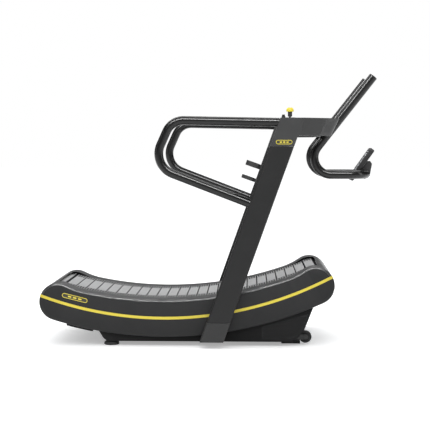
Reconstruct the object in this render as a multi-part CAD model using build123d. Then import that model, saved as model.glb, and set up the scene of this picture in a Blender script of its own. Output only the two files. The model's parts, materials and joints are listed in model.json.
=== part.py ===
from build123d import *
import os
from math import atan2, cos, degrees, hypot, pi, radians, sin, sqrt, tan

# Curved manual treadmill.  Millimetres, +Z up, +X the way the runner faces, +Y to the runner's left.
# The floor is Z = 0 and the machine is symmetric about Y = 0 apart from the lever, button and bottle holder.
# The drawing's X = 0 is a little behind the middle of the whole machine, so every piece is moved by datum_x.
datum_x = 7.5

# ---------------------------------------------------------------- driving dimensions
# running surface: an arc about run_centre, tangent to a drum at each end
run_centre = (-279.0, 2490.0)
run_radius = 2222.0
rear_angle = -104.83
front_angle = -67.54
belt_outer = 93.0
belt_pitch = 75.0
hub_radius = run_radius + belt_outer

# slat belt
slat_count = 58
slat_width = 56.0
slat_half_length = 240.0
slat_base = 2.4
bar_thickness = 10.6
pad_thickness = 5.0
pad_half_length = 155.0
tread_inner = 157.0
belt_inside = 2.5
belt_outside = 2.0
belt_y = (203.0, 233.0)

# deck casing
rear_hub_radius = 108.0
front_hub_radius = 109.0
hump_blend = 400.0
bottom_radius = 2196.0
wall = 4.0
edge_round = 13.0
deck_face_y = 350.0
rail_inner_y = 244.0
rim_inner_y = 334.0
seam = 0.6
stripe_centre = (-262.0, 2203.0)
stripe_radius = 2040.0
stripe_width = 16.0
stripe_proud = 0.8

# running gear
pulley_radius = 72.2
drum_tube_radius = 40.0
axle_radius = 12.5
running_fit = 0.05
guide_radius = 20.0
guide_count = 16
guide_hub_radius = 2262.8
plate_y = (252.0, 258.0)
plate_half_height = 70.0
window_radius = hub_radius + 12.0
window_margin = 6.0
window_count = 7

# eddy-current brake on the left end of the front axle
disc_radius = 92.0
disc_y = (285.0, 291.0)
brake_pivot = (475.0, 287.0)
brake_pin_radius = 6.0

# base
tub_y = 326.0
tub_floor_z = 25.0
tub_rear_x = -636.0
tub_front_x = 624.0
tub_tuck = 8.0
vent_points = [(300, 40), (452, 40), (498, 58), (532, 96), (566, 186), (430, 148), (300, 112)]
plate_x = (-829.0, -679.0)
front_cover_x = 606.0
beam_y = (262.0, 312.0)
beam_z = (32.0, 72.0)
beam_x = (-586.0, 455.0)
beam_wall = 3.0
cross_member = 50.0
bracket_bays = ((-430.0, -350.0, 205.0), (215.0, 295.0, 275.0))
outrigger_x = (-44.0, 80.0)
shoe_grow = 1.2
foot_x = -569.0
foot_y = 285.0
foot_radius = 44.0
pad_x = (415.0, 524.0)
front_pad_y = (180.0, 238.0)
wheel_centre = (552.0, 46.0)
wheel_radius = 36.0
wheel_y = 262.0

# uprights, leaning forward
lean = 0.357
upright_rear = -66.0
upright_front = 68.0
upright_y = (365.0, 420.0)
upright_foot_z = 36.0
shoe_top_z = 146.0
head_seam_z = 1144.0
arm_bottom_z = 1203.0
arm_top_z = 1303.0
throat_radius = 11.0

# plan corners of the left arm and of the crossbar, at arm_bottom_z and at arm_top_z
arm_low = [(512, 420), (621, 352), (600, 310), (512, 365)]
arm_high = [(531, 420), (668, 334.5), (650, 292), (531, 365)]
bar_low = [(621.2, 351.6), (690, 290), (690, -290), (621.2, -351.6), (600.4, -309.6), (625, -285),
           (625, 285), (600.4, 309.6)]
bar_high = [(668.3, 334), (741, 269), (741, -269), (668.3, -334), (650.4, -291.6), (676, -269),
            (676, 269), (650.4, 291.6)]
bar_corners = [0.5, 36, 36, 0.5, 0.5, 10, 10, 0.5]

# tubes
tube_radius = 25.0
tube_wall = 3.0
rail_y = 392.5
rail_points = [(430.0, 1277.0), (-210.5, 1289.5), (-324.2, 1034.8), (240.0, 818.0)]
rail_bends = [103.0, 121.0]
handle_y = 190.0
handle_lean = 52.0
handle_hook_centre = (702.0, 1080.3)
handle_hook_radius = 100.0
handle_tip_z = 1543.0
loop_front_x = 912.0
loop_corner = 120.0

# console
screen_lean = 54.7
console_top = (945.7, 1135.5)
console_half_width = 65.0
console_height = 222.0
console_depth = 27.0

# bottle holder on the rear face of the right upright
holder_offset = 54.0
holder_y = 379.0
ring_radius = 42.0
ring_height = 28.0
holder_bore = 37.0
ring_z = 1023.0
tray_z = 948.0
tray_height = 20.0

# selector lever and button in the top of the right head
lever_x = 452.8
lever_pivot_z = 1240.0
button_x = 416.6


# ---------------------------------------------------------------- drawing helpers
def angle_of(centre, point):
    return degrees(atan2(point[1] - centre[1], point[0] - centre[0]))


def polar(centre, radius, angle):
    return (centre[0] + radius * cos(radians(angle)), centre[1] + radius * sin(radians(angle)))


def in_plane(point, y=0.0):
    return Vector(point[0], y, point[1])


def arc(centre, radius, start, end):
    """Arc in the side view, from one angle to another, in degrees from +X towards +Z."""
    points = [polar(centre, radius, a) for a in (start, (start + end) / 2, end)]
    return ThreePointArc(*[in_plane(p) for p in points])


def line(start, end):
    return Line(in_plane(start), in_plane(end))


def circles_meet(a, radius_a, b, radius_b, side):
    """Where two circles cross; side is +1 or -1, left or right of the line from a to b."""
    gap = hypot(b[0] - a[0], b[1] - a[1])
    along = (radius_a**2 - radius_b**2 + gap**2) / (2 * gap)
    across = side * sqrt(radius_a**2 - along**2)
    ux, uz = (b[0] - a[0]) / gap, (b[1] - a[1]) / gap
    return (a[0] + ux * along - uz * across, a[1] + uz * along + ux * across)


def prism(edges, y_from, y_to):
    """Side-view outline carried across the machine from y_from to y_to."""
    face = Face(Wire(edges))
    return Pos(0, y_from, 0) * extrude(face, amount=y_to - y_from, dir=(0, 1, 0))


def polygon(points, y_from, y_to):
    closed = list(points) + [points[0]]
    return prism([line(a, b) for a, b in zip(closed, closed[1:])], y_from, y_to)


def block(x, y, z):
    """Box from three (low, high) pairs."""
    size = [high - low for low, high in (x, y, z)]
    middle = [(high + low) / 2 for low, high in (x, y, z)]
    return Pos(*middle) * Box(*size)


def rod(centre, radius, y_from, y_to, bore=0.0):
    """Round bar across the machine, with its axis along Y."""
    length = y_to - y_from
    body = Cylinder(radius, length)
    if bore:
        body -= Cylinder(bore, length + 1)
    return Pos(centre[0], (y_from + y_to) / 2, centre[1]) * (Rot(90, 0, 0) * body)


def mirrored(shape):
    return mirror(shape, about=Plane.XZ)


def pair(shape):
    return Compound([mirrored(shape).solid(), shape.solid()])


def spread(low, high, count):
    return [low + (high - low) * i / (count - 1) for i in range(count)]


# ---------------------------------------------------------------- deck outline
rear_drum = polar(run_centre, hub_radius, rear_angle)
front_drum = polar(run_centre, hub_radius, front_angle)
bottom_centre = circles_meet(rear_drum, bottom_radius - rear_hub_radius,
                             front_drum, bottom_radius - front_hub_radius, 1)
rear_blend = circles_meet(rear_drum, rear_hub_radius + hump_blend,
                          run_centre, run_radius - hump_blend, -1)
front_blend = circles_meet(front_drum, front_hub_radius + hump_blend,
                           run_centre, run_radius - hump_blend, 1)


def deck_outline(inset):
    """Side-view outline of the deck casing: drum humps, hollow top and bowed belly, all tangent."""
    rear_low = angle_of(bottom_centre, rear_drum)
    front_low = angle_of(bottom_centre, front_drum)
    rear_hump = angle_of(rear_drum, rear_blend)
    front_hump = angle_of(front_drum, front_blend)
    rear_run = angle_of(run_centre, rear_blend)
    front_run = angle_of(run_centre, front_blend)
    return [
        arc(rear_drum, rear_hub_radius - inset, rear_low, rear_hump - 360),
        arc(rear_blend, hump_blend + inset, rear_hump - 180, rear_run),
        arc(run_centre, run_radius + inset, rear_run, front_run),
        arc(front_blend, hump_blend + inset, front_run, front_hump - 180),
        arc(front_drum, front_hub_radius - inset, front_hump, front_low),
        arc(bottom_centre, bottom_radius - inset, front_low, rear_low),
    ]


def rounded_slab(inset, y_from, y_to, rounding):
    slab = prism(deck_outline(inset), y_from, y_to)
    outer_face = slab.faces().sort_by(Axis.Y)[-1]
    return fillet(outer_face.edges(), rounding)


def below_stripe(margin, y_from, y_to):
    """Everything below the stripe: a block less the circle that the stripe follows."""
    zone = block((-1100, 900), (y_from, y_to), (-50, 700))
    return zone - rod(stripe_centre, stripe_radius - margin, y_from - 1, y_to + 1)


def side_tray():
    outer = rounded_slab(0, rail_inner_y, deck_face_y, edge_round)
    inner = rounded_slab(wall, rail_inner_y - 1, deck_face_y - wall, edge_round - wall)
    return outer - inner


def side_panel():
    """Dark side casing: the flat face and, below the stripe, the rim turned in under the deck."""
    face_zone = prism(deck_outline(edge_round), deck_face_y - 10, deck_face_y + 1)
    low_zone = below_stripe(0, rim_inner_y, deck_face_y + 1)
    return side_tray() & (face_zone + low_zone)


def foot_rail():
    """Standing rail beside the belt: top surface and the rounded shoulder round both humps."""
    face_zone = prism(deck_outline(edge_round - seam), deck_face_y - 8, deck_face_y + 2)
    low_zone = below_stripe(seam, rail_inner_y - 2, deck_face_y + 2)
    return side_tray() - face_zone - low_zone


def side_stripe():
    skin = rounded_slab(-stripe_proud, deck_face_y - edge_round, deck_face_y + stripe_proud,
                        edge_round + stripe_proud - 0.1)
    body = rounded_slab(0, deck_face_y - edge_round - 1, deck_face_y, edge_round)
    band = rod(stripe_centre, stripe_radius + stripe_width / 2, deck_face_y - 12, deck_face_y + 2,
               bore=stripe_radius - stripe_width / 2)
    pieces = ((skin - body) & band).solids().sort_by(SortBy.VOLUME)
    return pieces[-1]


def end_cover(x_from, x_to, drum, start_angle):
    """Cover over one drum, between the foot rails, turned under to meet the belly."""
    half_wide = rim_inner_y - seam
    half_narrow = rail_inner_y - seam
    shell = prism(deck_outline(0), -half_wide, half_wide) - prism(deck_outline(wall), -half_wide - 1, half_wide + 1)
    shell &= block((x_from, x_to), (-half_wide, half_wide), (-50, 700))
    for low, high in ((half_narrow, half_wide + 1), (-half_wide - 1, -half_narrow)):
        keep = below_stripe(-seam, low - 1, high + 1)
        shell -= block((-1100, 900), (low, high), (-60, 710)) - keep
    reach = 400.0
    toward = 1 if start_angle < 90 else -1
    lip = polar(drum, reach, start_angle)
    inner_side = (drum[0] - toward * reach, drum[1] + reach)
    low_side = (drum[0] - toward * reach, drum[1])
    shell -= polygon([drum, lip, inner_side, low_side], -half_wide - 1, half_wide + 1)
    return shell.solids().sort_by(SortBy.VOLUME)[-1]


# ---------------------------------------------------------------- slat belt
def belt_stations(offset):
    """Centre and outward direction of each slat along the closed belt, at an offset from the pitch line."""
    span = radians(front_angle - rear_angle)
    top = (hub_radius - belt_pitch) * span
    bend = pi * belt_pitch
    low = (hub_radius + belt_pitch) * span
    pitch = (top + low + 2 * bend) / slat_count
    stations = []
    for i in range(slat_count):
        s = (i + 0.5) * pitch
        if s < top:
            a = rear_angle + degrees(s / (hub_radius - belt_pitch))
            stations.append((polar(run_centre, hub_radius - belt_pitch - offset, a), a + 180))
        elif s < top + bend:
            a = front_angle + 180 - degrees((s - top) / belt_pitch)
            stations.append((polar(front_drum, belt_pitch + offset, a), a))
        elif s < top + bend + low:
            a = front_angle - degrees((s - top - bend) / (hub_radius + belt_pitch))
            stations.append((polar(run_centre, hub_radius + belt_pitch + offset, a), a))
        else:
            a = rear_angle - degrees((s - top - bend - low) / belt_pitch)
            stations.append((polar(rear_drum, belt_pitch + offset, a), a))
    return stations


def along_belt(offset, thickness, width, y_from, y_to):
    """One flat bar at every slat station, from offset to offset + thickness outward."""
    bar = Pos(0, (y_from + y_to) / 2, 0) * Box(thickness, y_to - y_from, width)
    solids = []
    for centre, outward in belt_stations(offset + thickness / 2):
        solids.append(Pos(centre[0], 0, centre[1]) * (Rot(0, -outward, 0) * bar))
    return solids


def slat_bars():
    return Compound(along_belt(slat_base, bar_thickness, slat_width, -slat_half_length, slat_half_length))


def slat_pads():
    top = slat_base + bar_thickness
    return Compound(along_belt(top, pad_thickness, slat_width - 3, -pad_half_length, pad_half_length))


def slat_treads():
    top = slat_base + bar_thickness
    right = along_belt(top, pad_thickness, slat_width - 1, -slat_half_length, -tread_inner)
    left = along_belt(top, pad_thickness, slat_width - 1, tread_inner, slat_half_length)
    return Compound(right + left)


def loop_outline(offset):
    """Closed belt line at an offset outward from the pitch line."""
    bend = belt_pitch + offset
    return [
        arc(rear_drum, bend, rear_angle, rear_angle - 180),
        arc(run_centre, hub_radius - bend, rear_angle, front_angle),
        arc(front_drum, bend, front_angle + 180, front_angle),
        arc(run_centre, hub_radius + bend, front_angle, rear_angle),
    ]


def drive_belts():
    low, high = belt_y
    band = prism(loop_outline(belt_outside), low, high) - prism(loop_outline(-belt_inside), low - 1, high + 1)
    return pair(band)


# ---------------------------------------------------------------- running gear
def drum(centre):
    """Drum: centre tube with a belt pulley at each end, bored for the axle."""
    body = rod(centre, drum_tube_radius, -201, 201, bore=drum_tube_radius - 6)
    for low, high in ((-235, -201), (201, 235)):
        body += rod(centre, pulley_radius, low, high)
        body += rod(centre, pulley_radius + 2.0, low - 3 if low < 0 else high, low if low < 0 else high + 3)
    return body - rod(centre, axle_radius, -240, 240)


def axle(centre, left_end):
    return rod(centre, axle_radius, -284, left_end)


def axle_bearings():
    """Four flanged bearing housings bolted to the outside of the side plates."""
    housings = []
    for centre in (rear_drum, front_drum):
        for low, high in ((-276, -258), (258, 276)):
            housings.append(rod(centre, 36, low, high, bore=axle_radius + running_fit).solid())
    return Compound(housings)


def guide_angles():
    return spread(rear_angle + 2.2, front_angle - 2.2, guide_count)


def guide_rollers():
    """Row of support rollers under one edge of the running belt."""
    rollers = []
    for a in guide_angles():
        centre = polar(run_centre, guide_hub_radius, a)
        rollers.append(rod(centre, guide_radius, 206, 230, bore=5 + running_fit).solid())
    return rollers


def roller_pins():
    pins = []
    for a in guide_angles():
        centre = polar(run_centre, guide_hub_radius, a)
        pin = (rod(centre, 5, 204, 252) + rod(centre, 8, 234, 252)).solid()
        pins.extend([pin, mirrored(pin).solid()])
    return Compound(pins)


def side_plate():
    """Steel plate beside the belt that carries the drum bearings and the roller pins."""
    plate = prism(loop_outline(plate_half_height - belt_pitch), *plate_y)
    for centre in (rear_drum, front_drum):
        plate -= rod(centre, axle_radius + 4, plate_y[0] - 1, plate_y[1] + 1)
    for a in spread(rear_angle + window_margin, front_angle - window_margin, window_count):
        plate -= rod(polar(run_centre, window_radius, a), 24, plate_y[0] - 1, plate_y[1] + 1)
    return plate


def cross_tubes():
    """Tubes that tie the two side plates together inside the belt loop."""
    angles = spread(rear_angle + window_margin, front_angle - window_margin, window_count)
    tubes = []
    for a in angles[::2]:
        tubes.append(rod(polar(run_centre, window_radius, a), 23.9, -plate_y[1], plate_y[1], bore=20).solid())
    return Compound(tubes)


# ---------------------------------------------------------------- brake
def brake_disc():
    return rod(front_drum, disc_radius, *disc_y, bore=axle_radius) + rod(front_drum, 26, 279, 285, bore=axle_radius)


def brake_pin():
    return rod(brake_pivot, brake_pin_radius, plate_y[1], 304) + rod(brake_pivot, 11, plate_y[1], 272)


def brake_caliper():
    """Magnet carrier that straddles the rim of the disc and swings on the brake pin."""
    x, z = brake_pivot
    arm = polygon([(x - 14, z - 12), (x + 14, z - 12), (x + 22, z + 44), (x + 52, z + 52),
                   (x + 52, z + 98), (x - 2, z + 98), (x - 14, z + 40)], 274, 302)
    arm -= block((x + 16, x + 80), (disc_y[0] - 3, disc_y[1] + 3), (z + 30, z + 120))
    return arm - rod(brake_pivot, brake_pin_radius + running_fit, 270, 305)


# ---------------------------------------------------------------- base
def base_frame():
    """Welded base: two long beams, three cross members, four plate brackets and the two outriggers."""
    low, high = beam_y
    z_low, z_high = beam_z
    frame = block((beam_x[0], beam_x[1]), (low, high), beam_z)
    frame -= block((beam_x[0] - 1, beam_x[1] + 1), (low + beam_wall, high - beam_wall),
                   (z_low + beam_wall, z_high - beam_wall))
    for x_from, x_to, top in bracket_bays:
        frame += block((x_from, x_to), (plate_y[1], plate_y[1] + 10), (z_low, top))
    frame += block(outrigger_x, (high, upright_y[0] - shoe_grow), (36, 62))
    frame += mirrored(frame)
    for x in (beam_x[0], -7, beam_x[1] - cross_member):
        frame += block((x, x + cross_member), (-low, low), (z_low, z_high - 8))
    return frame


def tub_outline(inset):
    """Side view of the base tub: tucked under the belly, raked front, rounded lower corners."""
    front_top = (tub_front_x - inset, 300.0)
    front_low = (540.0 - inset, 88.0)
    top_left = (tub_rear_x + inset, 300.0)
    floor = tub_floor_z + inset
    corners = (top_left, (tub_rear_x + inset, 80), (tub_rear_x + 24 + inset, 42), (tub_rear_x + 46, floor),
               (462, floor), (505 - inset, floor + 22), front_low, front_top)
    return Polyline(*[in_plane(p) for p in corners], close=True).edges()


def base_tub():
    """Moulded black tub that closes the base below the side panels."""
    tub = prism(tub_outline(0), -tub_y, tub_y)
    tub -= prism(tub_outline(wall), -tub_y + wall, tub_y - wall)
    tub &= block((-900, 900), (-400, 400), (0, 400)) - rod(bottom_centre, bottom_radius - tub_tuck, -400, 400)
    for side in (-1, 1):
        inner, outer = sorted((side * 300, side * 340))
        tub -= block((outrigger_x[0] - 3, outrigger_x[1] + 3), (inner, outer), (34, 66))
        inner, outer = sorted((side * (wheel_y - 21), side * (wheel_y + 21)))
        tub -= block((beam_x[1] - 3, 620), (inner, outer), (0, 98))
        tub -= Pos(foot_x, side * foot_y, tub_floor_z) * Cylinder(12, 30)
    return tub


def vent_panel():
    """Perforated insert on the side of the tub, ahead of the upright."""
    return polygon(vent_points, tub_y, tub_y + 1.5)


def under_plate():
    """Belly plate under the rear drum."""
    ring = rod(bottom_centre, bottom_radius + 17, -300, 300, bore=bottom_radius + 0.5)
    return (ring & block(plate_x, (-310, 310), (0, 400))).solid()


def rear_feet():
    feet = []
    for side in (-1, 1):
        foot = Pos(foot_x, side * foot_y, 10) * Cylinder(foot_radius, 20)
        foot = fillet(foot.edges(), 5)
        foot += Pos(foot_x, side * foot_y, 26) * Cylinder(9, 12)
        feet.append(foot.solid())
    return Compound(feet)


def front_pads():
    low, high = front_pad_y
    pad = block(pad_x, (low, high), (0, 14))
    pad += block((pad_x[0] + 6, pad_x[0] + 42), (low + 6, high - 6), (14, tub_floor_z))
    return pair(pad)


def transport_wheel(side):
    wheel = rod(wheel_centre, wheel_radius, side * wheel_y - 11, side * wheel_y + 11)
    wheel = fillet(wheel.edges(), 4)
    return wheel - rod(wheel_centre, 6 + running_fit, side * wheel_y - 20, side * wheel_y + 20)


def wheel_brackets():
    """Fork for each transport wheel, carried by the front of the base frame."""
    forks = []
    x, z = wheel_centre
    for side in (-1, 1):
        middle = side * wheel_y
        fork = block((beam_x[1], beam_x[1] + 6), (middle - 19, middle + 19), (z - 14, z + 15))
        for low in (-19, 15):
            fork += block((beam_x[1], x), (middle + low, middle + low + 4), (z - 14, z + 15))
            fork += rod(wheel_centre, 15, middle + low, middle + low + 4)
        fork -= rod(wheel_centre, 6, middle - 25, middle + 25)
        forks.append(fork.solid())
    return Compound(forks)


def wheel_axles():
    pins = []
    for side in (-1, 1):
        pin = rod(wheel_centre, 6, side * wheel_y - 19, side * wheel_y + 19)
        pin += rod(wheel_centre, 10, side * wheel_y - 22, side * wheel_y - 19)
        pins.append(pin.solid())
    return Compound(pins)


# ---------------------------------------------------------------- uprights and head
def rear_edge(z):
    return (upright_rear + lean * z, z)


def front_edge(z):
    return (upright_front + lean * z, z)


def leaning_post(z_low, z_high, grow=0.0, rounding=10.0):
    """Length of box section along the lean of the upright, with its four long edges rounded."""
    corners = [rear_edge(z_low), front_edge(z_low), front_edge(z_high), rear_edge(z_high)]
    shifts = (-grow, grow, grow, -grow)
    points = [(x + shift, z) for (x, z), shift in zip(corners, shifts)]
    post = polygon(points, upright_y[0] - grow, upright_y[1] + grow)
    if rounding <= 0:
        return post
    long_edges = [e for e in post.edges() if abs((e @ 1 - e @ 0).Z) > 0.8 * (z_high - z_low)]
    return fillet(long_edges, rounding)


def upright():
    return leaning_post(shoe_top_z + seam, head_seam_z - seam) - leaning_post(shoe_top_z - 5, head_seam_z + 5, -3.5, 7)


def upright_shoe():
    """Cast foot of the upright; the outrigger of the base frame bolts to its inner side."""
    return leaning_post(upright_foot_z, shoe_top_z, shoe_grow)


def plan_wire(points, z, radii):
    return FilletPolyline(*[Vector(x, y, z) for x, y in points], radius=radii, close=True)


def ruled(low_points, high_points, radii):
    """Solid between a lower and an upper plan outline that have the same corners."""
    low = Face(Wire(plan_wire(low_points, arm_bottom_z, radii).edges()))
    high = Face(Wire(plan_wire(high_points, arm_top_z, radii).edges()))
    return loft([low, high], ruled=True)


def head():
    """Left head casting: top of the upright and the arm that reaches forward and inward."""
    throat = front_edge(arm_bottom_z)
    post = polygon([rear_edge(head_seam_z), rear_edge(arm_top_z), (arm_high[0][0], arm_top_z),
                    (arm_low[0][0], arm_bottom_z), throat, front_edge(head_seam_z)], *upright_y)
    inner_edges = post.edges().filter_by(Axis.Y).sort_by_distance(in_plane(throat, upright_y[0]))
    post = fillet(inner_edges[:1], throat_radius)
    arm = ruled(arm_low, arm_high, 0.5)
    return post + arm


def head_right():
    """Right head: as the left one, with the lever's chamber and slot and the button's bore."""
    body = mirrored(head())
    body -= block((lever_x - 30, lever_x + 30), (-408, -377), (1215, 1294))
    body -= block((lever_x - 20, lever_x + 20), (-400, -385), (1290, 1310))
    body -= Pos(button_x, -rail_y, 1300) * Cylinder(8.5, 24)
    return body


def front_crossbar():
    """Raked bar between the heads, with a seat for each push handle tube."""
    bar = ruled(bar_low, bar_high, bar_corners)
    for y in (-handle_y, handle_y):
        bar -= handle_leg_envelope(y)
    return bar


def handle_leg_envelope(y):
    foot, tip = handle_leg()
    direction = in_plane(tip) - in_plane(foot)
    plane = Plane(origin=in_plane(foot, y), z_dir=direction)
    return plane * (Pos(0, 0, direction.length / 2) * Cylinder(tube_radius, direction.length))


# ---------------------------------------------------------------- tubes
def pipe(path):
    section = Circle(tube_radius) - Circle(tube_radius - tube_wall)
    start = Plane(origin=path @ 0, z_dir=path % 0)
    return sweep(start * section, path=path)


def handrail():
    """Handrail loop: from the head back, round two bends and down into the rear of the upright."""
    path = FilletPolyline(*[in_plane(p, rail_y) for p in rail_points], radius=rail_bends)
    tube = pipe(path)
    return (tube - leaning_post(700, 1400, 0.0, 0)).solids().sort_by(SortBy.VOLUME)[-1]


def handle_leg():
    """Lower and upper end of the straight, raked leg of the push handle."""
    foot = polar(handle_hook_centre, handle_hook_radius, 90 + handle_lean)
    tip = (foot[0] + (handle_tip_z - foot[1]) / tan(radians(handle_lean)), handle_tip_z)
    return foot, tip


def push_handle():
    """One tube: raked grip, hook, low run, round the front loop and back up the other side."""
    foot, tip = handle_leg()
    floor_z = handle_hook_centre[1] - handle_hook_radius
    low = (handle_hook_centre[0], floor_z)
    hook_mid = polar(handle_hook_centre, handle_hook_radius, (90 + handle_lean + 270) / 2)
    turn = loop_front_x - loop_corner
    chord = loop_corner * (1 - cos(radians(45)))
    half = []
    for y in (-handle_y, handle_y):
        side = 1 if y > 0 else -1
        straight_y = handle_y - loop_corner
        half.append([
            Line(in_plane(tip, y), in_plane(foot, y)),
            ThreePointArc(in_plane(foot, y), in_plane(hook_mid, y), in_plane(low, y)),
            Line(in_plane(low, y), Vector(turn, y, floor_z)),
            ThreePointArc(Vector(turn, y, floor_z),
                          Vector(loop_front_x - chord, y - side * chord, floor_z),
                          Vector(loop_front_x, side * straight_y, floor_z)),
        ])
    middle = Line(Vector(loop_front_x, -(handle_y - loop_corner), floor_z),
                  Vector(loop_front_x, handle_y - loop_corner, floor_z))
    path = Wire([e.edge() for e in half[0] + [middle] + half[1]])
    section = Circle(tube_radius) - Circle(tube_radius - tube_wall)
    start = Plane(origin=in_plane(tip, -handle_y), z_dir=in_plane(foot) - in_plane(tip))
    return sweep(start * section, path=path)


def handle_caps():
    """Domed plug in the upper end of each push handle tube."""
    foot, tip = handle_leg()
    caps = []
    for y in (-handle_y, handle_y):
        plane = Plane(origin=in_plane(tip, y), z_dir=in_plane(tip) - in_plane(foot))
        cap = Pos(0, 0, 2.5) * Cylinder(tube_radius, 5)
        cap = fillet(cap.edges().sort_by(Axis.Z)[-1:], 4)
        cap += Pos(0, 0, -9) * Cylinder(tube_radius - tube_wall - 0.1, 18)
        caps.append((plane * cap).solid())
    return Compound(caps)


# ---------------------------------------------------------------- console
def console_plane():
    """Plane of the screen, at its top edge: X across, Y down the screen, Z into the case."""
    down = Vector(-cos(radians(screen_lean)), 0, -sin(radians(screen_lean)))
    inward = Vector(sin(radians(screen_lean)), 0, -cos(radians(screen_lean)))
    across = down.cross(inward)
    return Plane(origin=in_plane(console_top), x_dir=across, z_dir=inward)


def console_case():
    """Portrait display case with rounded corners and a window recess."""
    case = Pos(0, console_height / 2, console_depth / 2) * Box(2 * console_half_width, console_height, console_depth)
    case = fillet(case.edges().filter_by(Axis.Z), 14)
    case = fillet(case.faces().sort_by(Axis.Z)[-1].edges(), 8)
    case -= Pos(0, 92, 0.75) * Box(108, 156, 1.5)
    return console_plane() * case


def console_window():
    return console_plane() * (Pos(0, 92, 0.7) * Box(107.6, 155.6, 1.2))


def console_bracket():
    """Fin-shaped housing clamped on the front of the loop; it carries the display case."""
    floor_z = handle_hook_centre[1] - handle_hook_radius
    back = console_plane()
    upper = back.from_local_coords(Vector(0, 78, console_depth + 0.2))
    lower = back.from_local_coords(Vector(0, 196, console_depth + 0.2))
    points = [(upper.X, upper.Z), (upper.X + 20, upper.Z + 2), (954, 1042), (942, 970), (912, 950), (884, 962),
              (lower.X, lower.Z)]
    fin = polygon(points, -38, 38)
    outer = fin.edges().filter_by(Axis.Y)
    fin = fillet([e for e in outer if (e @ 0.5).X > 900 and (e @ 0.5).Z < upper.Z + 1], 10)
    return fin - rod((loop_front_x, floor_z), tube_radius, -50, 50)


# ---------------------------------------------------------------- bottle holder
def holder_plane(z):
    """Plane across the upright at height z on its rear face: Z along the lean, X to the rear."""
    length = hypot(lean, 1)
    rearward = Vector(-1 / length, 0, lean / length)
    along = Vector(lean / length, 0, 1 / length)
    return Plane(origin=in_plane(rear_edge(z), -holder_y), x_dir=rearward, z_dir=along)


def bottle_ring():
    ring = Pos(holder_offset, 0, 0) * Cylinder(ring_radius, ring_height)
    ring += Pos(holder_offset / 2, 0, 0) * Box(holder_offset, 34, ring_height)
    ring -= Pos(holder_offset, 0, 0) * Cylinder(holder_bore, ring_height + 2)
    return holder_plane(ring_z) * ring


def bottle_tray():
    tray = Pos(holder_offset, 0, 0) * Cylinder(ring_radius - 2, tray_height)
    tray += Pos(holder_offset / 2, 0, 0) * Box(holder_offset, 34, tray_height)
    tray -= Pos(holder_offset, 0, 4) * Cylinder(holder_bore, tray_height)
    return holder_plane(tray_z) * tray


# ---------------------------------------------------------------- lever and button
def selector_lever():
    stem = Pos(lever_x, -rail_y, (1310 + 1337) / 2) * Cylinder(12, 1337 - 1310)
    stem += Pos(lever_x, -rail_y, (lever_pivot_z + 1310) / 2) * Cylinder(5.5, 1310 - lever_pivot_z)
    stem += Pos(lever_x, -rail_y, 1343) * Cylinder(6, 14)
    stem += rod((lever_x, lever_pivot_z), 11, -rail_y - 7, -rail_y + 7)
    return stem - rod((lever_x, lever_pivot_z), 5 + running_fit, -rail_y - 8, -rail_y + 8)


def selector_knob():
    """Bell-shaped knob, turned about the stem."""
    profile = [Line((0, 0, 1360), (12, 0, 1360)), ThreePointArc((12, 0, 1360), (18.5, 0, 1353), (21, 0, 1340)),
               Line((21, 0, 1340), (21, 0, 1337)), Line((21, 0, 1337), (0, 0, 1337)),
               Line((0, 0, 1337), (0, 0, 1360))]
    knob = revolve(Face(Wire([e.edge() for e in profile])), Axis.Z, 360)
    knob -= Pos(0, 0, 1343) * Cylinder(6, 14.02)
    return Pos(lever_x, -rail_y, 0) * knob


def lever_pin():
    return rod((lever_x, lever_pivot_z), 5, -408, -377)


def lever_gate():
    gate = block((lever_x - 25, lever_x + 29), (-407, -378), (arm_top_z, arm_top_z + 1.6))
    gate = fillet(gate.edges().filter_by(Axis.Z), 8)
    return gate - block((lever_x - 19, lever_x + 19), (-399, -386), (1300, 1310))


def button_collar():
    return Pos(button_x, -rail_y, arm_top_z + 4) * (Cylinder(11, 8) - Cylinder(8.4, 9))


def push_button():
    cap = Pos(button_x, -rail_y, 1309) * Cylinder(8.3, 24)
    return fillet(cap.edges().sort_by(Axis.Z)[-1:], 1.5)


# ---------------------------------------------------------------- badges
def badge(x, z, length, height, angle, y_from, y_to):
    """Plain rounded plate with no lettering."""
    plate = Box(length, y_to - y_from, height)
    plate = fillet(plate.edges().filter_by(Axis.Y), height / 2 - 0.5)
    return Pos(x, (y_from + y_to) / 2, z) * (Rot(0, angle, 0) * plate)


# ---------------------------------------------------------------- export
os.makedirs("parts", exist_ok=True)
box_of_all = []


def write(name, shape):
    placed = Pos(datum_x, 0, 0) * shape
    box_of_all.append(placed.bounding_box())
    export_step(placed, f"parts/{name}.step")


panel = side_panel()
write("side_panel_left", panel)
write("side_panel_right", mirrored(panel))
rail = foot_rail()
write("foot_rail_left", rail)
write("foot_rail_right", mirrored(rail))
write("side_stripes", pair(side_stripe()))
write("rear_cover", end_cover(-1100, plate_x[0], rear_drum, 100))
write("front_cover", end_cover(front_cover_x, 900, front_drum, 77))
write("slat_bars", slat_bars())
write("slat_pads", slat_pads())
write("slat_treads", slat_treads())
write("drive_belts", drive_belts())
write("front_drum", drum(front_drum))
write("front_axle", axle(front_drum, 300))
write("rear_drum", drum(rear_drum))
write("rear_axle", axle(rear_drum, 284))
write("axle_bearings", axle_bearings())
rollers = guide_rollers()
write("guide_rollers_left", Compound(rollers))
write("guide_rollers_right", Compound([mirrored(r).solid() for r in rollers]))
write("roller_pins", roller_pins())
plate = side_plate()
write("side_plate_left", plate)
write("side_plate_right", mirrored(plate))
write("cross_tubes", cross_tubes())
write("brake_disc", brake_disc())
write("brake_pin", brake_pin())
write("brake_caliper", brake_caliper())
write("base_frame", base_frame())
write("base_tub", base_tub())
vent = vent_panel()
write("vent_panel_left", vent)
write("vent_panel_right", mirrored(vent))
write("under_plate", under_plate())
write("rear_feet", rear_feet())
write("front_pads", front_pads())
write("transport_wheel_left", transport_wheel(1))
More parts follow.
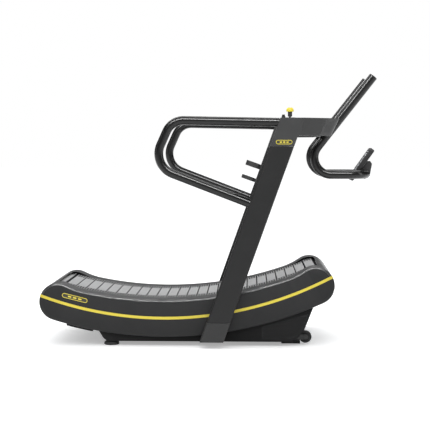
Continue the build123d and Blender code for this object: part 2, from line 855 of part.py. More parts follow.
write("transport_wheel_right", transport_wheel(-1))
write("wheel_brackets", wheel_brackets())
write("wheel_axles", wheel_axles())
post = upright()
write("upright_left", post)
write("upright_right", mirrored(post))
shoe = upright_shoe()
write("upright_shoe_left", shoe)
write("upright_shoe_right", mirrored(shoe))
write("head_left", head())
write("head_right", head_right())
write("front_crossbar", front_crossbar())
loop = handrail()
write("handrail_left", loop)
write("handrail_right", mirrored(loop))
write("push_handle", push_handle())
write("handle_caps", handle_caps())
write("console_case", console_case())
write("console_window", console_window())
write("console_bracket", console_bracket())
write("bottle_ring", bottle_ring())
write("bottle_tray", bottle_tray())
write("selector_lever", selector_lever())
write("selector_knob", selector_knob())
write("lever_pin", lever_pin())
write("lever_gate", lever_gate())
write("button_collar", button_collar())
write("push_button", push_button())
write("deck_badges", pair(badge(-772, 277, 150, 26, 14, deck_face_y, deck_face_y + 0.8)))
write("head_badges", pair(badge(420, 1167, 92, 24, 0, upright_y[1], upright_y[1] + 0.8)))

lows = [min(getattr(b.min, a) for b in box_of_all) for a in "XYZ"]
highs = [max(getattr(b.max, a) for b in box_of_all) for a in "XYZ"]
print("box", [round(v, 2) for v in lows], [round(v, 2) for v in highs])
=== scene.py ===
import json
import math

import bmesh
import bpy
from mathutils import Matrix, Vector

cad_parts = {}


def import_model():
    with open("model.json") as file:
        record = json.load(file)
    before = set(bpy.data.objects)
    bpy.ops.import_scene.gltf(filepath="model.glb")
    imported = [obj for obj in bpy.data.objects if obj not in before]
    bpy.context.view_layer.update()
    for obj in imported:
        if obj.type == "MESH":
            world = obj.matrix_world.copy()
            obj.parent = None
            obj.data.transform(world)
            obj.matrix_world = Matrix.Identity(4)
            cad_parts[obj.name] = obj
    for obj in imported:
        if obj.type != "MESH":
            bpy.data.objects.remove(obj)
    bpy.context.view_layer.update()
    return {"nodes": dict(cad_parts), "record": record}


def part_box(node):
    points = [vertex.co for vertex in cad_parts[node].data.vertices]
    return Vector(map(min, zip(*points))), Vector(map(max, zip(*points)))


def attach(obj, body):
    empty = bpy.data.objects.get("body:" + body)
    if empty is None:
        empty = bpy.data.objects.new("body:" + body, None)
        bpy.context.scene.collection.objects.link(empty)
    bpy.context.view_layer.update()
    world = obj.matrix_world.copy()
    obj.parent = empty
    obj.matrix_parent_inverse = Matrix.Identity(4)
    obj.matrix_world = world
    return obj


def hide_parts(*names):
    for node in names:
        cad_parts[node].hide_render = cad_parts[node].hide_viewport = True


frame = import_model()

# Curved manual treadmill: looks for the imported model.  Metres, +Z up, +X the way the runner faces.

# ---------------------------------------------------------------- sizes shared with the CAD model
DATUM_X = 0.0075
RUN_CENTRE = (-0.279 + DATUM_X, 2.490)
HUB_RADIUS = 2.315
REAR_ANGLE = math.radians(-104.83)
FRONT_ANGLE = math.radians(-67.54)
BELT_PITCH = 0.075
SLAT_COUNT = 58
BAR_TOP = 0.013
PAD_THICKNESS = 0.005
PAD_WIDTH = 0.053
PAD_HALF_LENGTH = 0.155
TREAD_ROWS = ((0.158, 0.196), (0.200, 0.239))
RIB_PITCH = 0.0150
RIB_WIDTH = 0.0076
RIBS_PER_SLAT = 4
SHOULDER_MIDDLE = 0.1985
SHOULDER_WIDTH = 0.083
SHOULDER_LENGTH = 0.0545
SCREEN_LEAN = math.radians(54.7)
HANDLE_LEAN = math.radians(52.0)
TUBE_RADIUS = 0.0249
HANDRAIL_Y = 0.3925
HANDLE_Y = 0.19
PLATE_THICKNESS = 0.0003
VENT_PITCH = 0.0085
VENT_HOLE_RADIUS = 0.0026


# ---------------------------------------------------------------- materials
class Finish:
    """A principled material with a few texture helpers, all in object space."""

    def __init__(self, name, colour, roughness, metallic=0.0):
        self.material = bpy.data.materials.new(name)
        self.material.use_nodes = True
        self.nodes = self.material.node_tree.nodes
        self.links = self.material.node_tree.links
        self.shader = self.nodes["Principled BSDF"]
        self.shader.inputs["Base Color"].default_value = (*colour, 1)
        self.shader.inputs["Roughness"].default_value = roughness
        self.shader.inputs["Metallic"].default_value = metallic
        self.place = self.nodes.new("ShaderNodeTexCoord").outputs["Object"]
        self.height = None

    def noise(self, scale, detail=2.0, stretch=(1, 1, 1)):
        mapping = self.nodes.new("ShaderNodeMapping")
        mapping.inputs["Scale"].default_value = stretch
        texture = self.nodes.new("ShaderNodeTexNoise")
        texture.inputs["Scale"].default_value = scale
        texture.inputs["Detail"].default_value = detail
        self.links.new(self.place, mapping.inputs["Vector"])
        self.links.new(mapping.outputs["Vector"], texture.inputs["Vector"])
        return texture.outputs["Fac"]

    def cells(self, scale, stretch=(1, 1, 1)):
        mapping = self.nodes.new("ShaderNodeMapping")
        mapping.inputs["Scale"].default_value = stretch
        texture = self.nodes.new("ShaderNodeTexVoronoi")
        texture.inputs["Scale"].default_value = scale
        self.links.new(self.place, mapping.inputs["Vector"])
        self.links.new(mapping.outputs["Vector"], texture.inputs["Vector"])
        return texture.outputs["Distance"]

    def remap(self, value, low, high, to_low=0.0, to_high=1.0):
        node = self.nodes.new("ShaderNodeMapRange")
        for key, number in (("From Min", low), ("From Max", high), ("To Min", to_low), ("To Max", to_high)):
            node.inputs[key].default_value = number
        self.links.new(value, node.inputs["Value"])
        return node.outputs["Result"]

    def tint(self, factor, colour):
        """Mixes another colour over the present one where factor is 1."""
        mix = self.nodes.new("ShaderNodeMix")
        mix.data_type = "RGBA"
        base = self.shader.inputs["Base Color"]
        if base.is_linked:
            self.links.new(base.links[0].from_socket, mix.inputs["A"])
        else:
            mix.inputs["A"].default_value = base.default_value[:]
        mix.inputs["B"].default_value = (*colour, 1)
        self.links.new(factor, mix.inputs["Factor"])
        self.links.new(mix.outputs["Result"], base)

    def rough(self, value, low, high):
        self.links.new(self.remap(value, 0.3, 0.7, low, high), self.shader.inputs["Roughness"])

    def bump(self, value, depth, strength=1.0):
        node = self.nodes.new("ShaderNodeBump")
        node.inputs["Distance"].default_value = depth
        node.inputs["Strength"].default_value = strength
        self.links.new(value, node.inputs["Height"])
        if self.height is not None:
            self.links.new(self.height, node.inputs["Normal"])
        self.height = node.outputs["Normal"]
        self.links.new(self.height, self.shader.inputs["Normal"])

    def soften(self, radius):
        """Rounds the sharp CAD edges in the shading."""
        node = self.nodes.new("ShaderNodeBevel")
        node.samples = 4
        node.inputs["Radius"].default_value = radius
        self.height = node.outputs["Normal"]
        self.links.new(self.height, self.shader.inputs["Normal"])

    def edge_wear_and_highlight(self, colour, low=0.53, high=0.60, amount=0.5):
        """Paler edges where the surface is sharply convex: rubbed wear, and on the rail also a painted
        highlight along its rounded edge.
        """
        point = self.nodes.new("ShaderNodeNewGeometry").outputs["Pointiness"]
        self.tint(self.remap(point, low, high, 0.0, amount), colour)

    def specular(self, level):
        self.shader.inputs["Specular IOR Level"].default_value = level

    def coat(self, weight, roughness):
        self.shader.inputs["Coat Weight"].default_value = weight
        self.shader.inputs["Coat Roughness"].default_value = roughness


def moulding(name, colour, roughness=0.42, grain=2600, depth=0.00006, soften=0.0012, shine=0.35):
    """Injection-moulded plastic with a fine spark-eroded grain."""
    m = Finish(name, colour, roughness)
    m.specular(shine)
    m.soften(soften)
    m.bump(m.noise(grain, 3.0), depth)
    m.tint(m.remap(m.noise(3.0, 3.0), 0.35, 0.7, 0.0, 0.35), [c * 1.25 for c in colour])
    m.rough(m.noise(14, 4.0), roughness - 0.05, roughness + 0.07)
    m.edge_wear_and_highlight([min(1, c * 1.8 + 0.02) for c in colour])
    return m.material


def painted(name, colour, roughness=0.38, peel=420, soften=0.0016, shine=0.35):
    """Powder coat on steel: slight orange peel and a soft sheen."""
    m = Finish(name, colour, roughness)
    m.specular(shine)
    m.soften(soften)
    m.bump(m.noise(peel, 2.0), 0.00008)
    m.bump(m.noise(3200, 2.0), 0.00003)
    m.tint(m.remap(m.noise(2.2, 2.0), 0.35, 0.7, 0.0, 0.3), [c * 1.2 for c in colour])
    m.rough(m.noise(9, 3.0), roughness - 0.04, roughness + 0.06)
    m.edge_wear_and_highlight([c * 2.0 + 0.02 for c in colour])
    m.coat(0.08, 0.25)
    return m.material


def satin_rail(name, colour):
    """Smooth satin moulding with a clear top coat, a little scuffed where feet land; its rounded edges
    carry a painted highlight.
    """
    m = Finish(name, colour, 0.3)
    m.specular(0.6)
    m.soften(0.004)
    m.tint(m.remap(m.noise(2.0, 1.0), 0.4, 0.7, 0.0, 0.2), [c * 1.15 for c in colour])
    m.rough(m.noise(3.0, 1.0), 0.27, 0.32)
    # Painted highlight: the paler convex edges are partly scuffs and partly stand in for the light caught
    # on the rail's rounded edge.
    m.edge_wear_and_highlight([c * 2.2 + 0.02 for c in colour], 0.505, 0.54, 0.6)
    m.coat(0.35, 0.12)
    return m.material


def gloss_paint(name, colour):
    """Black gloss tube paint with faint hand marks."""
    m = Finish(name, colour, 0.2)
    m.tint(m.remap(m.noise(6, 2.0), 0.45, 0.75, 0.0, 0.25), [c * 1.8 + 0.002 for c in colour])
    m.rough(m.noise(8, 2.0), 0.27, 0.33)
    m.specular(0.3)
    m.coat(0.28, 0.18)
    return m.material


def rubber(name, colour, roughness=0.75, grain=1500, depth=0.00015, soften=0.001):
    m = Finish(name, colour, roughness)
    m.soften(soften)
    m.bump(m.cells(grain), depth)
    m.bump(m.noise(60, 4.0), 0.0002)
    m.tint(m.remap(m.noise(5, 4.0), 0.4, 0.75, 0.0, 0.4), [c * 0.78 for c in colour])
    m.tint(m.remap(m.noise(900, 2.0), 0.62, 0.72, 0.0, 0.25), [min(1, c * 1.35 + 0.01) for c in colour])
    m.rough(m.noise(30, 3.0), roughness - 0.08, roughness + 0.1)
    m.shader.inputs["Sheen Weight"].default_value = 0.1
    return m.material


def metal(name, colour, roughness=0.32, stretch=(1, 1, 1), soften=0.0008):
    """Bare metal, brushed or turned along one direction."""
    m = Finish(name, colour, roughness, 1.0)
    m.soften(soften)
    m.bump(m.noise(500, 3.0, stretch), 0.00003)
    m.rough(m.noise(220, 4.0, stretch), roughness - 0.1, roughness + 0.12)
    m.tint(m.remap(m.noise(8, 3.0), 0.4, 0.75, 0.0, 0.4), [c * 0.8 for c in colour])
    return m.material


def tinted_window(name):
    m = Finish(name, (0.006, 0.0065, 0.008), 0.09)
    m.rough(m.noise(18, 5.0), 0.06, 0.14)
    m.tint(m.remap(m.noise(40, 5.0), 0.55, 0.8, 0.0, 0.2), (0.02, 0.021, 0.024))
    m.coat(0.5, 0.05)
    return m.material


def lit_print(name, colour, strength):
    m = Finish(name, colour, 0.5)
    m.tint(m.remap(m.noise(700, 2.0), 0.4, 0.7, 0.0, 0.3), [c * 0.85 for c in colour])
    m.shader.inputs["Emission Color"].default_value = (*colour, 1)
    m.shader.inputs["Emission Strength"].default_value = strength
    return m.material


YELLOW = (0.60, 0.47, 0.045)
finishes = {
    "casing": moulding("casing_grey", (0.0112, 0.0112, 0.0117), 0.5, shine=0.30),
    "rail": satin_rail("rail_grey", (0.024, 0.024, 0.0248)),
    "stripe": moulding("stripe_yellow", YELLOW, 0.35, depth=0.00002),
    "slat": metal("slat_black_anodised", (0.035, 0.035, 0.037), 0.42, (1, 0.02, 1)),
    "pad": rubber("pad_pale_rubber", (0.30, 0.30, 0.30), 0.72),
    "tread": rubber("tread_grey_rubber", (0.22, 0.22, 0.22), 0.8),
    "belt": rubber("belt_black", (0.0025, 0.0025, 0.0025), 0.9),
    "drum": metal("drum_turned_aluminium", (0.62, 0.63, 0.64), 0.3, (1, 0.05, 1)),
    "axle": metal("ground_steel", (0.55, 0.55, 0.56), 0.22, (1, 0.05, 1)),
    "zinc": metal("zinc_plate", (0.50, 0.51, 0.52), 0.36),
    "roller": moulding("nylon_black", (0.03, 0.03, 0.032), 0.4),
    "frame_paint": painted("frame_black", (0.012, 0.012, 0.012), 0.45),
    "tub": moulding("tub_black", (0.0026, 0.0026, 0.0027), 0.6, shine=0.10),
    "mesh": painted("vent_black", (0.0036, 0.0036, 0.0038), 0.5, shine=0.12),
    "foot": rubber("foot_black", (0.010, 0.010, 0.010), 0.8),
    "upright": painted("upright_grey", (0.0054, 0.0054, 0.0055), 0.42, soften=0.004, shine=0.2),
    "shoe": painted("shoe_grey", (0.0120, 0.0120, 0.0120), 0.42, shine=0.3),
    # Painted light: the head gets a paler grey than the uprights, standing in for the light falling on the
    # arm from above.
    "head": painted("head_grey_painted_lighter", (0.025, 0.025, 0.025), 0.36, soften=0.005),
    "tube": gloss_paint("tube_black", (0.0018, 0.0018, 0.0018)),
    "console": moulding("console_black", (0.014, 0.014, 0.0145), 0.5),
    "glass": tinted_window("console_window_tint"),
    "holder": moulding("holder_black", (0.012, 0.012, 0.012), 0.5),
    "knob": moulding("knob_yellow", (0.80, 0.64, 0.04), 0.34, depth=0.00003),
    "button": moulding("button_black", (0.010, 0.010, 0.010), 0.5),
    "badge": moulding("badge_dark", (0.035, 0.033, 0.02), 0.4),
    "magnet": metal("cast_aluminium", (0.5, 0.5, 0.51), 0.45),
}
# Painted shade: black spots stand in for the dark inside of the vent holes.
hole_painted_shade = moulding("vent_hole_painted_shade", (0.0015, 0.0015, 0.0015), 0.8, shine=0.1)
screen_print = lit_print("screen_print", (0.62, 0.64, 0.66), 0.35)


def dress(piece, slot_name, material=None):
    piece.data.materials.clear()
    piece.data.materials.append(material or finishes[slot_name])


for entry in frame["record"]["subparts"]:
    dress(frame["nodes"][entry["node"]], entry["material_slot"])


# ---------------------------------------------------------------- mesh helpers
def piece_from(bm, name, body, slot_name, replaces=(), material=None, smooth_angle=None):
    bmesh.ops.recalc_face_normals(bm, faces=bm.faces)
    mesh = bpy.data.meshes.new(name)
    bm.to_mesh(mesh)
    bm.free()
    obj = bpy.data.objects.new(name, mesh)
    bpy.context.scene.collection.objects.link(obj)
    dress(obj, slot_name, material)
    if smooth_angle is not None:
        mesh.shade_smooth()
        for edge in mesh.edges:
            edge.use_edge_sharp = False
        mesh.set_sharp_from_angle(angle=math.radians(smooth_angle))
    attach(obj, body)
    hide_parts(*replaces)
    return obj


def add_bevel(obj, width, segments=2):
    modifier = obj.modifiers.new("rounded", "BEVEL")
    modifier.width = width
    modifier.segments = segments
    modifier.limit_method = "ANGLE"
    modifier.angle_limit = math.radians(40)
    modifier.harden_normals = False
    return obj


def add_box(bm, matrix, size):
    bmesh.ops.create_cube(bm, size=1.0, matrix=matrix @ Matrix.Diagonal((*size, 1)))


def add_lathe(bm, matrix, profile, steps=48, flute=None):
    """Solid of revolution about the matrix's Z axis; profile is (radius, height) from bottom to top."""
    rings = []
    for radius, height in profile:
        ring = []
        for i in range(steps):
            a = 2 * math.pi * i / steps
            r = radius * (flute(i, height) if flute else 1.0)
            ring.append(bm.verts.new(matrix @ Vector((r * math.cos(a), r * math.sin(a), height))))
        rings.append(ring)
    for low, high in zip(rings, rings[1:]):
        for i in range(steps):
            j = (i + 1) % steps
            bm.faces.new((low[i], low[j], high[j], high[i]))
    bm.faces.new(list(reversed(rings[0])))
    bm.faces.new(rings[-1])


def axes_matrix(origin, x_axis, y_axis, z_axis):
    matrix = Matrix((x_axis, y_axis, z_axis)).transposed().to_4x4()
    matrix.translation = origin
    return matrix


def polar(centre, radius, angle):
    return (centre[0] + radius * math.cos(angle), centre[1] + radius * math.sin(angle))


# ---------------------------------------------------------------- belt surface
rear_drum = polar(RUN_CENTRE, HUB_RADIUS, REAR_ANGLE)
front_drum = polar(RUN_CENTRE, HUB_RADIUS, FRONT_ANGLE)


def belt_stations(offset):
    """Point and outward angle of each slat round the loop, at an offset from the belt's pitch line."""
    span = FRONT_ANGLE - REAR_ANGLE
    top = (HUB_RADIUS - BELT_PITCH) * span
    bend = math.pi * BELT_PITCH
    low = (HUB_RADIUS + BELT_PITCH) * span
    pitch = (top + low + 2 * bend) / SLAT_COUNT
    for i in range(SLAT_COUNT):
        s = (i + 0.5) * pitch
        if s < top:
            a = REAR_ANGLE + s / (HUB_RADIUS - BELT_PITCH)
            yield polar(RUN_CENTRE, HUB_RADIUS - BELT_PITCH - offset, a), a + math.pi
        elif s < top + bend:
            a = FRONT_ANGLE + math.pi - (s - top) / BELT_PITCH
            yield polar(front_drum, BELT_PITCH + offset, a), a
        elif s < top + bend + low:
            a = FRONT_ANGLE - (s - top - bend) / (HUB_RADIUS + BELT_PITCH)
            yield polar(RUN_CENTRE, HUB_RADIUS + BELT_PITCH + offset, a), a
        else:
            a = REAR_ANGLE - (s - top - bend - low) / BELT_PITCH
            yield polar(rear_drum, BELT_PITCH + offset, a), a


def slat_matrix(point, outward):
    """Frame of one slat: X outward, Y across the belt, Z along it."""
    out = Vector((math.cos(outward), 0, math.sin(outward)))
    across = Vector((0, 1, 0))
    return axes_matrix(Vector((point[0], 0, point[1])), out, across, out.cross(across))


def tread_pads():
    """Pale pad in the middle of every slat, rounded at its edges."""
    bm = bmesh.new()
    for point, outward in belt_stations(BAR_TOP + PAD_THICKNESS / 2):
        add_box(bm, slat_matrix(point, outward), (PAD_THICKNESS, 2 * PAD_HALF_LENGTH, PAD_WIDTH))
    pads = piece_from(bm, "tread_pads", "frame", "pad", ["slat_pads"], smooth_angle=40)
    return add_bevel(pads, 0.0013, 3)


def tread_ribs():
    """Pale worn tops of the ribs on the shoulders of every slat: two rows of short bars at each side."""
    bm = bmesh.new()
    first = -(RIBS_PER_SLAT - 1) / 2 * RIB_PITCH
    for point, outward in belt_stations(BAR_TOP):
        place = slat_matrix(point, outward)
        for side in (-1, 1):
            for y_low, y_high in TREAD_ROWS:
                middle = side * (y_low + y_high) / 2
                for i in range(RIBS_PER_SLAT):
                    spot = Matrix.Translation((0.0040, middle, first + i * RIB_PITCH))
                    add_box(bm, place @ spot, (0.0018, y_high - y_low, RIB_WIDTH))
    ribs = piece_from(bm, "tread_ribs", "frame", "tread", ["slat_treads"])
    return add_bevel(ribs, 0.0006, 1)


def tread_bases():
    """Dark base of each shoulder, with the lower part of every rib."""
    bm = bmesh.new()
    first = -(RIBS_PER_SLAT - 1) / 2 * RIB_PITCH
    for point, outward in belt_stations(BAR_TOP):
        place = slat_matrix(point, outward)
        for side in (-1, 1):
            spot = Matrix.Translation((0.0006, side * SHOULDER_MIDDLE, 0))
            add_box(bm, place @ spot, (0.0012, SHOULDER_WIDTH, SHOULDER_LENGTH))
            for i in range(RIBS_PER_SLAT):
                for y_low, y_high in TREAD_ROWS:
                    spot = Matrix.Translation((0.0022, side * (y_low + y_high) / 2, first + i * RIB_PITCH))
                    add_box(bm, place @ spot, (0.0030, y_high - y_low - 0.0005, RIB_WIDTH - 0.0005))
    return piece_from(bm, "tread_bases", "frame", "belt", material=finishes["belt"])


# ---------------------------------------------------------------- console face
SEGMENTS = {
    "0": "abcdef", "1": "bc", "2": "abged", "3": "abgcd", "4": "fgbc",
    "5": "afgcd", "6": "afgedc", "7": "abc", "8": "abcdefg", "9": "abcdfg",
}


def screen_matrix():
    """Frame of the display window: X across, Y up the screen, Z out towards the runner."""
    low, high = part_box("console_window")
    up = Vector((math.cos(SCREEN_LEAN), 0, math.sin(SCREEN_LEAN)))
    out = Vector((-math.sin(SCREEN_LEAN), 0, math.cos(SCREEN_LEAN)))
    across = up.cross(out)
    surface = (low + high) / 2 + out * 0.0007
    return axes_matrix(surface, across, up, out)


def add_plate(bm, matrix, x, y, width, height):
    add_box(bm, matrix @ Matrix.Translation((x, y, 0)), (width, height, PLATE_THICKNESS))


def add_digit(bm, matrix, text, x, y, height):
    """One seven-segment figure, with its centre at x, y."""
    width = height * 0.5
    bar = height * 0.13
    half = height / 4
    spots = {
        "a": (0, 2 * half, width, bar), "d": (0, -2 * half, width, bar), "g": (0, 0, width, bar),
        "b": (width / 2, half, bar, 2 * half - bar), "c": (width / 2, -half, bar, 2 * half - bar),
        "f": (-width / 2, half, bar, 2 * half - bar), "e": (-width / 2, -half, bar, 2 * half - bar),
    }
    for key in SEGMENTS[text]:
        dx, dy, w, h = spots[key]
        add_plate(bm, matrix, x + dx, y + dy, w, h)


def add_ring(bm, matrix, x, y, radius, width, steps=20):
    """Flat ring drawn as short bars."""
    for i in range(steps):
        a = 2 * math.pi * (i + 0.5) / steps
        spot = Matrix.Translation((x + radius * math.cos(a), y + radius * math.sin(a), 0))
        turn = Matrix.Rotation(a, 4, "Z")
        add_box(bm, matrix @ spot @ turn, (width, 2.2 * math.pi * radius / steps, PLATE_THICKNESS))


def console_figures():
    """Five rows of readings with a plain symbol beside each, under a thin header bar."""
    bm = bmesh.new()
    place = screen_matrix()
    rows = ("1500", "124", "85", "320", "68")
    row_step = 0.0255
    top = 0.046
    for i, reading in enumerate(rows):
        y = top - i * row_step
        for j, figure in enumerate(reversed(reading)):
            add_digit(bm, place, figure, 0.030 - j * 0.0125, y, 0.0155)
        add_plate(bm, place, 0, y - row_step / 2, 0.088, 0.0005)
        if i % 2 == 0:
            add_ring(bm, place, -0.034, y, 0.0052, 0.0014)
        else:
            for k in range(3):
                add_plate(bm, place, -0.038 + 0.004 * k, y - 0.002 + 0.0015 * k, 0.0024, 0.004 + 0.003 * k)
        add_plate(bm, place, 0.043, y - 0.0055, 0.005, 0.0022)
    add_plate(bm, place, -0.012, 0.0655, 0.056, 0.0035)
    add_plate(bm, place, 0.036, 0.0655, 0.014, 0.0035)
    return piece_from(bm, "console_figures", "frame", "glass", material=screen_print)


# ---------------------------------------------------------------- badges and vents
def add_rounded_ring(bm, matrix, width, height, band, thick, corner_steps=8):
    """Raised outline of a rounded bar, in the matrix's XY plane, growing along its Z."""
    def outline(w, h):
        radius = h / 2
        points = []
        for sign, start in ((1, -math.pi / 2), (-1, math.pi / 2)):
            for i in range(corner_steps + 1):
                a = start + math.pi * i / corner_steps
                points.append((sign * (w / 2 - radius) + radius * math.cos(a), radius * math.sin(a)))
        return points
    loops = []
    for z in (0, thick):
        for w, h in ((width, height), (width - 2 * band, height - 2 * band)):
            loops.append([bm.verts.new(matrix @ Vector((x, y, z))) for x, y in outline(w, h)])
    outer_low, inner_low, outer_high, inner_high = loops
    count = len(outer_low)
    for i in range(count):
        j = (i + 1) % count
        bm.faces.new((outer_low[i], outer_low[j], outer_high[j], outer_high[i]))
        bm.faces.new((inner_high[i], inner_high[j], inner_low[j], inner_low[i]))
        bm.faces.new((outer_high[i], outer_high[j], inner_high[j], inner_high[i]))
        bm.faces.new((inner_low[i], inner_low[j], outer_low[j], outer_low[i]))


def badge_outlines():
    """Plain yellow outline and three blank bars on each badge; no lettering."""
    bm = bmesh.new()
    for node, length, height, tilt in (("deck_badges", 0.150, 0.026, math.radians(14)),
                                       ("head_badges", 0.092, 0.024, 0.0)):
        low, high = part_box(node)
        middle = (low + high) / 2
        for side in (-1, 1):
            face_y = high.y if side > 0 else low.y
            along = Vector((math.cos(tilt), 0, -math.sin(tilt)))
            out = Vector((0, side, 0))
            place = axes_matrix(Vector((middle.x, face_y, middle.z)), along, out.cross(along), out)
            place = place @ Matrix.Translation((0, 0, -0.0005))
            add_rounded_ring(bm, place, length, height, 0.0032, 0.0008)
            for k in (-1, 0, 1):
                spot = Matrix.Translation((k * length * 0.2, 0, 0.0005))
                add_box(bm, place @ spot, (length * 0.13, height * 0.3, 0.0005))
    return piece_from(bm, "badge_outlines", "frame", "stripe")


def inside(polygon, x, z, margin):
    """True if the point is inside a convex outline by at least the margin."""
    count = len(polygon)
    for i in range(count):
        (ax, az), (bx, bz) = polygon[i], polygon[(i + 1) % count]
        length = math.hypot(bx - ax, bz - az)
        if ((bx - ax) * (z - az) - (bz - az) * (x - ax)) / length < margin:
            return False
    return True


def vent_holes():
    """Staggered perforations on both vent panels, as dark six-sided spots just clear of the face: painted
    shade standing in for the dark inside of each hole.
    """
    corners = ((0.300, 0.040), (0.452, 0.040), (0.498, 0.058), (0.532, 0.096), (0.566, 0.186),
               (0.430, 0.148), (0.300, 0.112))
    outline = [(x + DATUM_X, z) for x, z in corners]
    bm = bmesh.new()
    low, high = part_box("vent_panel_left")
    for row in range(18):
        for column in range(33):
            x = low.x + VENT_PITCH * (column + 0.5 * (row % 2))
            z = low.z + VENT_PITCH * 0.87 * row
            if not inside(outline, x, z, 0.005):
                continue
            for side in (-1, 1):
                y = side * (high.y + 0.0002)
                corner_angles = [math.pi / 3 * k for k in range(6)]
                bm.faces.new([bm.verts.new((x + VENT_HOLE_RADIUS * math.cos(a), y,
                                            z + VENT_HOLE_RADIUS * math.sin(a))) for a in corner_angles])
    return piece_from(bm, "vent_holes", "frame", "mesh", material=hole_painted_shade)


# ---------------------------------------------------------------- lever, wheels, feet
def lever_knob():
    """Bell-shaped knob with shallow finger flutes."""
    low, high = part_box("selector_knob")
    centre = (low + high) / 2
    radius = 0.0208
    profile = [(0.0105, 0.0002), (0.0200, 0.0002), (radius, 0.0014), (radius, 0.0055),
               (0.0203, 0.0095), (0.0188, 0.0150), (0.0166, 0.0188), (0.0135, 0.0213),
               (0.0090, 0.0226), (0.0030, 0.0229)]
    bm = bmesh.new()
    place = Matrix.Translation((centre.x, centre.y, low.z))

    def flute(i, height):
        return 1.0 - (0.045 if i % 6 in (0, 1) and 0.001 < height < 0.016 else 0.0)
    add_lathe(bm, place, profile, 72, flute)
    return piece_from(bm, "lever_knob", "lever", "knob", ["selector_knob"], smooth_angle=35)


def transport_tyre(side):
    """Wheel with a rounded tread, a recessed web and a hub on each face."""
    node = "transport_wheel_left" if side > 0 else "transport_wheel_right"
    body = "wheel_left" if side > 0 else "wheel_right"
    low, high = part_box(node)
    centre = (low + high) / 2
    half = (high.y - low.y) / 2
    outer = (high.z - low.z) / 2
    profile = [(0.0075, -half), (0.0120, -half), (0.0125, -half + 0.003), (0.0260, -half + 0.004),
               (0.0275, -half + 0.0005), (outer - 0.004, -half), (outer - 0.0010, -half + 0.002),
               (outer, -half + 0.006), (outer, half - 0.006), (outer - 0.0010, half - 0.002),
               (outer - 0.004, half), (0.0275, half - 0.0005), (0.0260, half - 0.004),
               (0.0125, half - 0.003), (0.0120, half), (0.0075, half)]
    bm = bmesh.new()
    add_lathe(bm, Matrix.Translation(centre) @ Matrix.Rotation(-math.pi / 2, 4, "X"), profile, 64)
    return piece_from(bm, f"{node}_tyre", body, "foot", [node], smooth_angle=30)


def foot_rings():
    """Moulded grip rings round the rear feet."""
    low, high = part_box("rear_feet")
    radius = (high.x - low.x) / 2
    bm = bmesh.new()
    for side in (-1, 1):
        y = side * (high.y - radius)
        profile = [(radius - 0.004, 0.0), (radius - 0.0005, 0.0015), (radius, 0.005),
                   (radius - 0.0012, 0.0070), (radius, 0.0090), (radius - 0.0012, 0.0115),
                   (radius - 0.002, 0.0150), (radius - 0.008, 0.0190), (0.030, 0.0205),
                   (0.0130, 0.0212), (0.0125, 0.0318)]
        add_lathe(bm, Matrix.Translation(((low.x + high.x) / 2, y, 0)), profile, 72)
    return piece_from(bm, "rear_foot_pads", "frame", "foot", ["rear_feet"], smooth_angle=30)


# ---------------------------------------------------------------- bent tubes
def rounded_path(corners, radii, step=math.radians(3)):
    """Points along a polyline whose inner corners are rounded to the given bend radii."""
    path = [corners[0]]
    for before, corner, after, radius in zip(corners, corners[1:], corners[2:], radii):
        back, ahead = (before - corner).normalized(), (after - corner).normalized()
        half = back.angle(ahead) / 2
        start = corner + back * (radius / math.tan(half))
        centre = corner + (back + ahead).normalized() * (radius / math.sin(half))
        spoke = start - centre
        turn_axis = back.cross(ahead)
        sweep = math.pi - 2 * half
        count = max(2, round(sweep / step))
        for i in range(count + 1):
            path.append(centre + Matrix.Rotation(-sweep * i / count, 3, turn_axis) @ spoke)
    return path + [corners[-1]]


def add_tube(bm, path, radius, steps=40):
    """Round tube swept along a path, without twist, closed at both ends."""
    tangents = []
    for i in range(len(path)):
        before, after = path[max(0, i - 1)], path[min(len(path) - 1, i + 1)]
        tangents.append((after - before).normalized())
    normal = tangents[0].orthogonal().normalized()
    rings = []
    for i, (point, tangent) in enumerate(zip(path, tangents)):
        if i:
            normal = tangents[i - 1].rotation_difference(tangent) @ normal
        side = tangent.cross(normal)
        angles = [2 * math.pi * k / steps for k in range(steps)]
        rings.append([bm.verts.new(point + radius * (math.cos(a) * normal + math.sin(a) * side))
                      for a in angles])
    for low, high in zip(rings, rings[1:]):
        for k in range(steps):
            j = (k + 1) % steps
            bm.faces.new((low[k], low[j], high[j], high[k]))
    bm.faces.new(list(reversed(rings[0])))
    bm.faces.new(rings[-1])


def handrail_tubes():
    """Both handrail loops, each in one bent tube that ends inside its upright."""
    side_view = ((0.395, 1.2777), (-0.2105, 1.2895), (-0.3242, 1.0348), (0.232, 0.8211))
    for side, label in ((-1, "right"), (1, "left")):
        bm = bmesh.new()
        corners = [Vector((x + DATUM_X, side * HANDRAIL_Y, z)) for x, z in side_view]
        add_tube(bm, rounded_path(corners, (0.103, 0.121)), TUBE_RADIUS)
        piece_from(bm, f"handrail_tube_{label}", "frame", "tube", [f"handrail_{label}"], smooth_angle=40)


def push_handle_tube():
    """The push handle: grip, hook, low run and front loop in one bent tube."""
    run_z = 0.9803
    tip = (0.9366, 1.543)
    hook_bend, front_bend = 0.100, 0.120
    hook_x = 0.702 - hook_bend / math.tan(HANDLE_LEAN / 2)
    front_x = 0.912
    corners = [(tip[0], -HANDLE_Y, tip[1]), (hook_x, -HANDLE_Y, run_z), (front_x, -HANDLE_Y, run_z),
               (front_x, HANDLE_Y, run_z), (hook_x, HANDLE_Y, run_z), (tip[0], HANDLE_Y, tip[1])]
    corners = [Vector((x + DATUM_X, y, z)) for x, y, z in corners]
    bm = bmesh.new()
    bends = (hook_bend, front_bend, front_bend, hook_bend)
    add_tube(bm, rounded_path(corners, bends), TUBE_RADIUS)
    piece_from(bm, "push_handle_tube", "frame", "tube", ["push_handle"], smooth_angle=40)


# ---------------------------------------------------------------- build the pieces
handrail_tubes()
push_handle_tube()
tread_pads()
tread_ribs()
tread_bases()
console_figures()
badge_outlines()
vent_holes()
lever_knob()
for wheel_side in (-1, 1):
    transport_tyre(wheel_side)
foot_rings()


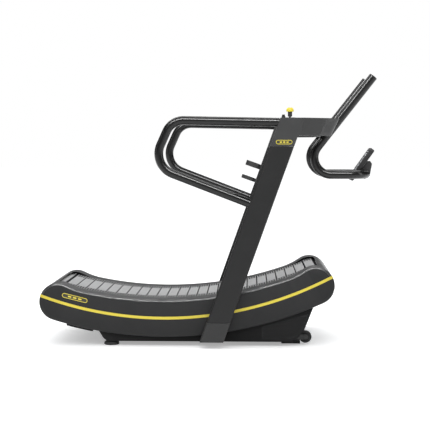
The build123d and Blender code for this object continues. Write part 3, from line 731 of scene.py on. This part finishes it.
# ---------------------------------------------------------------- studio
def floor():
    bm = bmesh.new()
    bmesh.ops.create_grid(bm, x_segments=1, y_segments=1, size=60)
    mesh = bpy.data.meshes.new("studio_floor")
    bm.to_mesh(mesh)
    bm.free()
    plane = bpy.data.objects.new("studio_floor", mesh)
    bpy.context.scene.collection.objects.link(plane)
    m = Finish("floor_white", (0.90, 0.90, 0.90), 0.7)
    m.tint(m.remap(m.noise(0.4, 2.0), 0.4, 0.7, 0.0, 0.2), (0.88, 0.88, 0.885))
    m.specular(0.1)
    m.shader.inputs["Emission Color"].default_value = (1, 1, 1, 1)
    m.shader.inputs["Emission Strength"].default_value = 0.36
    plane.data.materials.append(m.material)


def add_lamp(name, kind, location, target):
    data = bpy.data.lights.new(name, kind)
    lamp = bpy.data.objects.new(name, data)
    lamp.location = location
    lamp.rotation_euler = (Vector(target) - Vector(location)).to_track_quat("-Z", "Y").to_euler()
    bpy.context.scene.collection.objects.link(lamp)
    return lamp


def strip_light(name, location, target, size, radiance):
    """Soft box whose brightness is set by what it looks like in a reflection."""
    lamp = add_lamp(name, "AREA", location, target)
    lamp.data.shape = "RECTANGLE"
    lamp.data.size, lamp.data.size_y = size
    lamp.data.energy = radiance * math.pi * size[0] * size[1]
    return lamp


def sky_light():
    """Broad even light from above that leaves the floor white and casts a soft shadow."""
    lamp = add_lamp("sky", "SUN", (-1.5, -2.0, 6), (0, 0, 0))
    lamp.data.energy = 1.5
    lamp.data.angle = math.radians(75)
    lamp.visible_glossy = False


def world():
    """White to the camera, soft grey as light, dark in reflections."""
    studio = bpy.data.worlds.new("studio")
    bpy.context.scene.world = studio
    studio.use_nodes = True
    nodes, links = studio.node_tree.nodes, studio.node_tree.links
    path = nodes.new("ShaderNodeLightPath")
    shader = nodes["Background"]
    shader.inputs["Color"].default_value = (0.96, 0.98, 1, 1)
    shader.inputs["Strength"].default_value = 0.5
    for ray, brightness in (("Is Glossy Ray", 0.10), ("Is Camera Ray", 1.0)):
        other = nodes.new("ShaderNodeBackground")
        other.inputs["Color"].default_value = (1, 1, 1, 1)
        other.inputs["Strength"].default_value = brightness
        mix = nodes.new("ShaderNodeMixShader")
        links.new(path.outputs[ray], mix.inputs["Fac"])
        links.new(shader.outputs[0], mix.inputs[1])
        links.new(other.outputs[0], mix.inputs[2])
        shader = mix
    links.new(shader.outputs[0], nodes["World Output"].inputs["Surface"])


def camera():
    """Side view from the runner's right, at handrail height, turned slightly back and down."""
    data = bpy.data.cameras.new("camera")
    data.lens = 86.26
    cam = bpy.data.objects.new("camera", data)
    cam.location = (0.2288, -6.184, 1.1193)
    cam.rotation_euler = (math.radians(90 - 3.572), 0, math.radians(1.856))
    bpy.context.scene.collection.objects.link(cam)
    bpy.context.scene.camera = cam


floor()
world()
camera()
sky_light()
strip_light("overhead", (0, 0.4, 3.4), (0, 0, 0.6), (5.0, 0.6), 6)
strip_light("behind", (0.2, 3.2, 2.4), (0, 0, 0.8), (4.5, 1.0), 2.2)
strip_light("nose", (3.4, -0.8, 1.7), (0.5, 0, 0.7), (0.4, 2.2), 5)
strip_light("tail", (-3.6, -1.0, 1.8), (-0.7, 0, 0.5), (0.4, 2.0), 4)
edge_light = strip_light("edges", (0, -4.2, 4.9), (0, 0, 0.8), (7.0, 0.7), 44)
edge_light.visible_diffuse = False
bpy.context.scene.view_settings.view_transform = "Standard"
